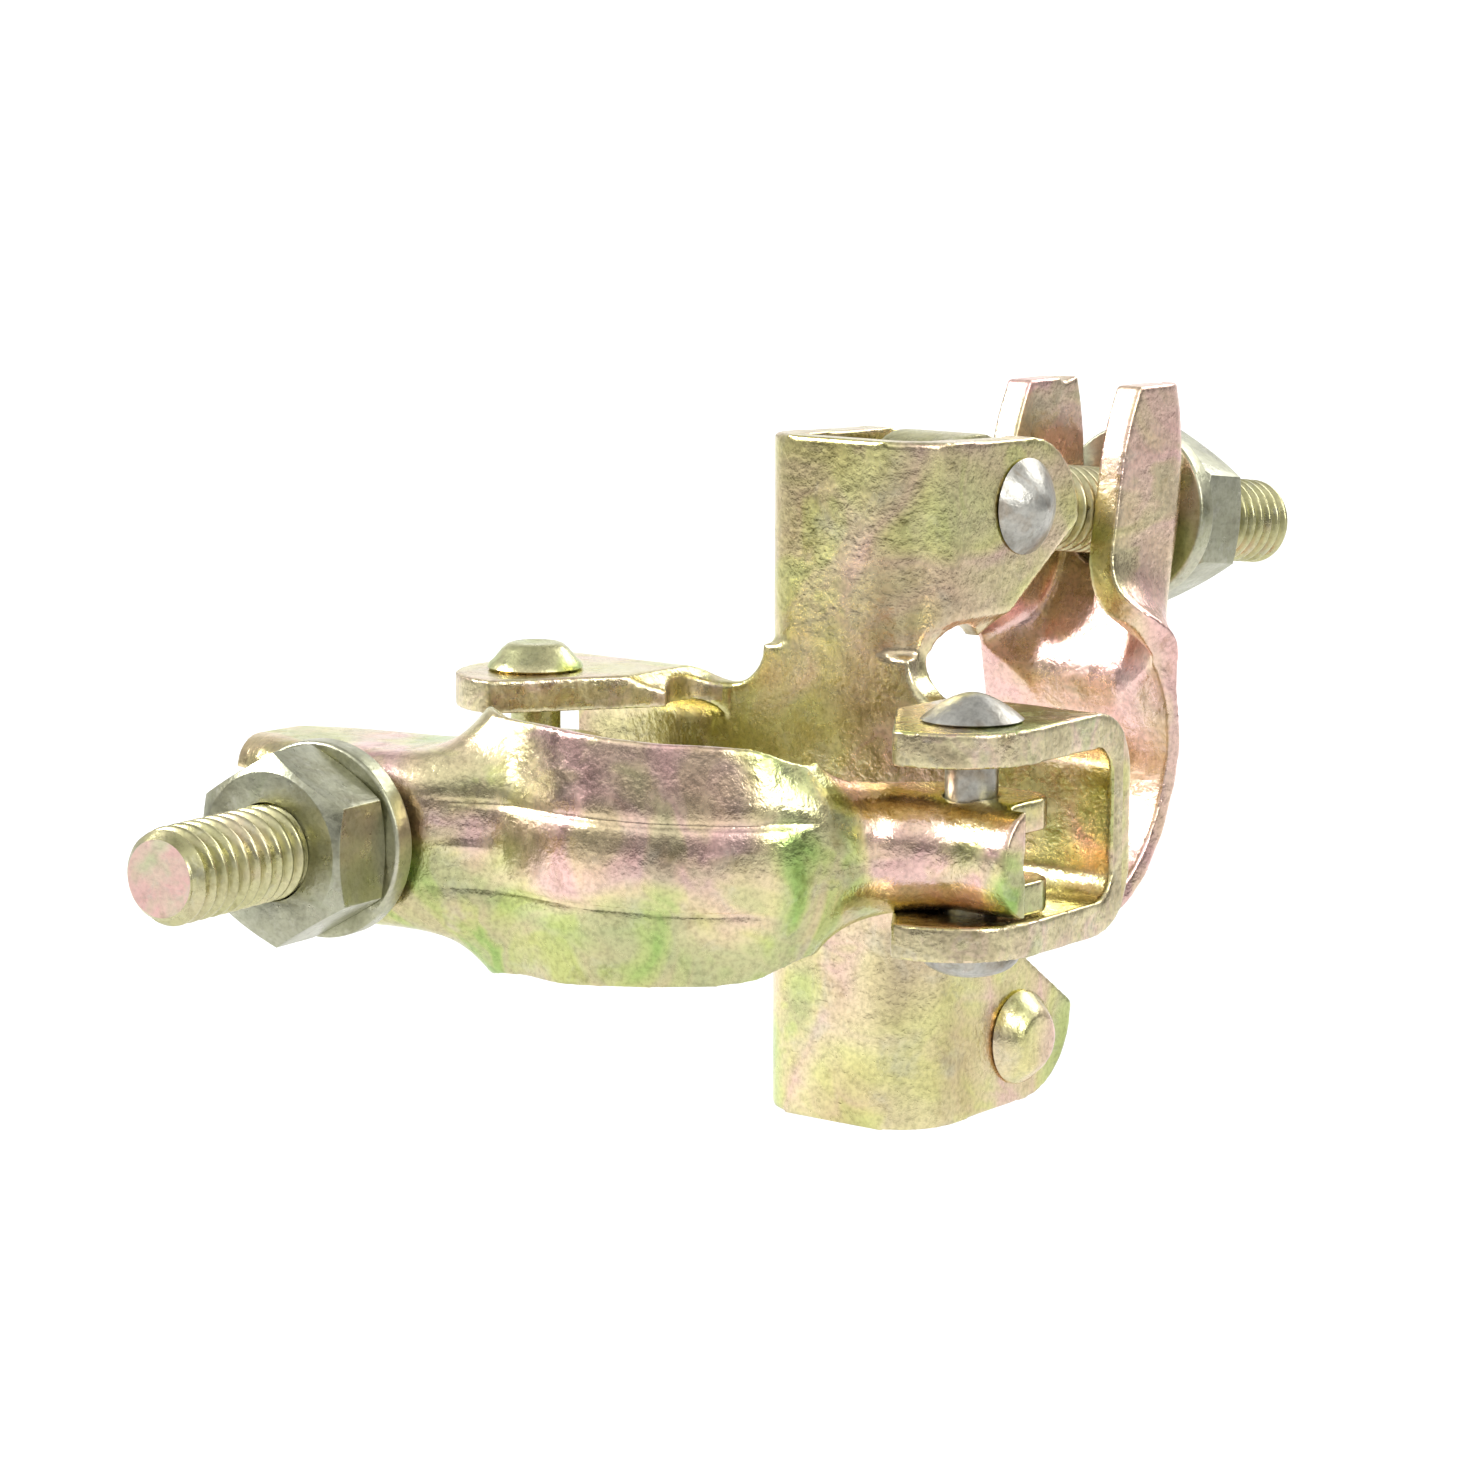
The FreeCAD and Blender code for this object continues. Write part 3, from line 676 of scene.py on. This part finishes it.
def narrow_neck(shell, matrix):
    """Taper the shank from its full size to the thread's core."""
    inverse = matrix.inverted()
    for vert in shell.verts:
        local = inverse @ vert.co
        if local.z > NECK_START:
            share = min((local.z - NECK_START) / NECK_LENGTH, 1.0)
            scale = 1 - share * (1 - NECK_RADIUS / SHANK_RADIUS)
            vert.co = matrix @ Vector((local.x * scale, local.y * scale, local.z))


def make_bolt(name, matrix):
    bolt = softened(name, name + "_forged", 0.4, 6)
    shell = bmesh.new()
    shell.from_mesh(bolt.data)
    cut_shank(shell, matrix)
    narrow_neck(shell, matrix)
    shell.from_mesh(mesh_from(name + "_thread", *bolt_thread(), matrix))
    shell.to_mesh(bolt.data)
    shell.free()
    smooth_shading(bolt, 38)
    return bolt


for group in GROUPS:
    name = group + "_bolt"
    matrix = bolt_matrix(group)
    bolt = make_bolt(name, matrix)
    finish_piece(bolt, bolt_steel, name, name)
    bolt.data.materials.append(bolt_face)
    inverse = matrix.inverted()
    for face in bolt.data.polygons:
        if len(face.vertices) == THREAD_COLUMNS and (inverse @ face.center).z > BOLT_END - 0.5:
            face.material_index = 1

# ---- Washers and nuts ----
for group in GROUPS:
    washer = bevelled(group + "_washer", group + "_washer_disc", 0.25)
    finish_piece(washer, washer_steel, group + "_washer", group + "_washer")
    nut = bevelled(group + "_nut", group + "_hex_nut", 0.22)
    finish_piece(nut, nut_steel, group + "_nut", group + "_nut")


# ---- Floor and backdrop ----
def make_stage():
    """A floor that curves up into a backdrop, far behind the object as the camera sees it."""
    width, reach_back, curve, below = 6.0, 1.0, 1.1, 0.16
    profile = [(-9.0, 0.0)]
    for step in range(17):
        turn = step / 16 * math.pi / 2
        profile.append((reach_back + curve * math.sin(turn), curve * (1 - math.cos(turn))))
    profile.append((reach_back + curve, 4.0))
    direction = Vector((-0.64, 0.77, 0)).normalized()
    across = Vector((direction.y, -direction.x, 0))
    points, faces = [], []
    for reach, height in profile:
        for side in (-1, 1):
            points.append(direction * reach + across * side * width + Vector((0, 0, height - below)))
    for row in range(len(profile) - 1):
        faces.append((2 * row, 2 * row + 1, 2 * row + 3, 2 * row + 2))
    mesh = bpy.data.meshes.new("floor")
    mesh.from_pydata(points, [], faces)
    floor = new_object("floor", mesh)
    smooth_shading(floor, 180)
    material, shader, add, link = node_tools("floor_paper")
    place = placed(add, link, (0, 0, 0))
    tone = ramp(add, link, noise(add, link, place, 3.0), ((0.3, grey(0.70)), (0.7, grey(0.74))))
    link(tone, shader.inputs["Base Color"])
    shader.inputs["Roughness"].default_value = 0.9
    floor.data.materials.append(material)


make_stage()


# ---- Light ----
def area_light(name, place, aim, size, power):
    data = bpy.data.lights.new(name, "AREA")
    data.shape = "RECTANGLE"
    data.size, data.size_y = size
    data.energy = power
    lamp = bpy.data.objects.new(name, data)
    bpy.context.scene.collection.objects.link(lamp)
    lamp.location = place
    lamp.rotation_euler = (Vector(aim) - Vector(place)).to_track_quat("-Z", "Y").to_euler()


area_light("key", (-0.74, -0.62, 0.62), (0, 0.02, 0), (0.55, 0.30), 12)
area_light("fill", (1.05, -0.15, 0.55), (0, 0.02, 0), (0.35, 0.60), 5)
area_light("back", (0.2, 1.0, 0.7), (0, 0.02, 0), (0.8, 0.4), 5)
area_light("backdrop", (-0.3, 0.36, 1.0), (-1.4, 1.7, 0.5), (2.0, 0.8), 24)


def make_world():
    """Soft studio surround: grey below, dark at the horizon and bright above."""
    world = bpy.data.worlds.new("studio")
    bpy.context.scene.world = world
    world.use_nodes = True
    tree = world.node_tree
    direction = tree.nodes.new("ShaderNodeTexCoord")
    parts = tree.nodes.new("ShaderNodeSeparateXYZ")
    tree.links.new(direction.outputs["Generated"], parts.inputs["Vector"])
    scale = tree.nodes.new("ShaderNodeMapRange")
    scale.inputs["From Min"].default_value = -1.0
    tree.links.new(parts.outputs["Z"], scale.inputs["Value"])
    tones = tree.nodes.new("ShaderNodeValToRGB")
    stops = ((0.0, 0.70), (0.42, 0.50), (0.50, 0.20), (0.58, 0.24),
             (0.66, 0.75), (0.76, 1.35), (0.90, 1.2), (1.0, 0.6))
    set_stops(tones, [(position, grey(tone)) for position, tone in stops])
    tree.links.new(scale.outputs["Result"], tones.inputs["Fac"])
    tree.links.new(tones.outputs["Color"], tree.nodes["Background"].inputs["Color"])
    tree.nodes["Background"].inputs["Strength"].default_value = 0.85


make_world()

# ---- Camera ----
camera_data = bpy.data.cameras.new("camera")
camera = bpy.data.objects.new("camera", camera_data)
bpy.context.scene.collection.objects.link(camera)
forward = Vector((-0.63772, 0.75107, -0.17090))
upward = Vector((-0.10902, 0.13163, 0.98529))
right = forward.cross(upward).normalized()
upward = right.cross(forward).normalized()
pose = Matrix((right, upward, -forward.normalized())).transposed().to_4x4()
pose.translation = Vector((362.92, -443.49, 99.46)) * MM
camera.matrix_world = pose
camera_data.sensor_width = 36.0
camera_data.lens = 113.45
camera_data.shift_x = 0.0788
camera_data.shift_y = 0.0510
camera_data.clip_start = 0.01
camera_data.dof.use_dof = False
bpy.context.scene.camera = camera
bpy.context.scene.view_settings.view_transform = "Standard"
